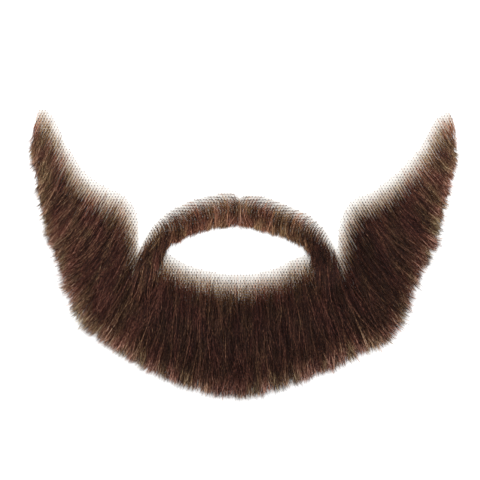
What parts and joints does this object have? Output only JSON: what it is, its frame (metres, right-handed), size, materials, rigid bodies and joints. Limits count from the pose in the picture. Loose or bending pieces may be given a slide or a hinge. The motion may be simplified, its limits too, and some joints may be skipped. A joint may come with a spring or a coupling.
{
  "type": "fake beard",
  "caption": "Full false beard lying flat: a pale lace base with a hair moustache arch, two cheek wings and a chin curtain round an open mouth hole.",
  "frame": {"origin": "middle of the footprint's box, on the surface that the lace lies on", "axes": "+X to the right and +Y up as the beard is seen from the front, so +X is the wearer's left; +Z out of the lace into the hair"},
  "size_m": [0.2313, 0.1578, 0.015],
  "materials": {
    "hair": "dark brown human hair, satin",
    "lace": "fine pale net, matt"
  },
  "bodies": {
    "root": {"lace_base": "lace", "moustache_hair": "hair", "right_cheek_hair": "hair", "left_cheek_hair": "hair", "chin_hair": "hair"}
  },
  "joints": []
}
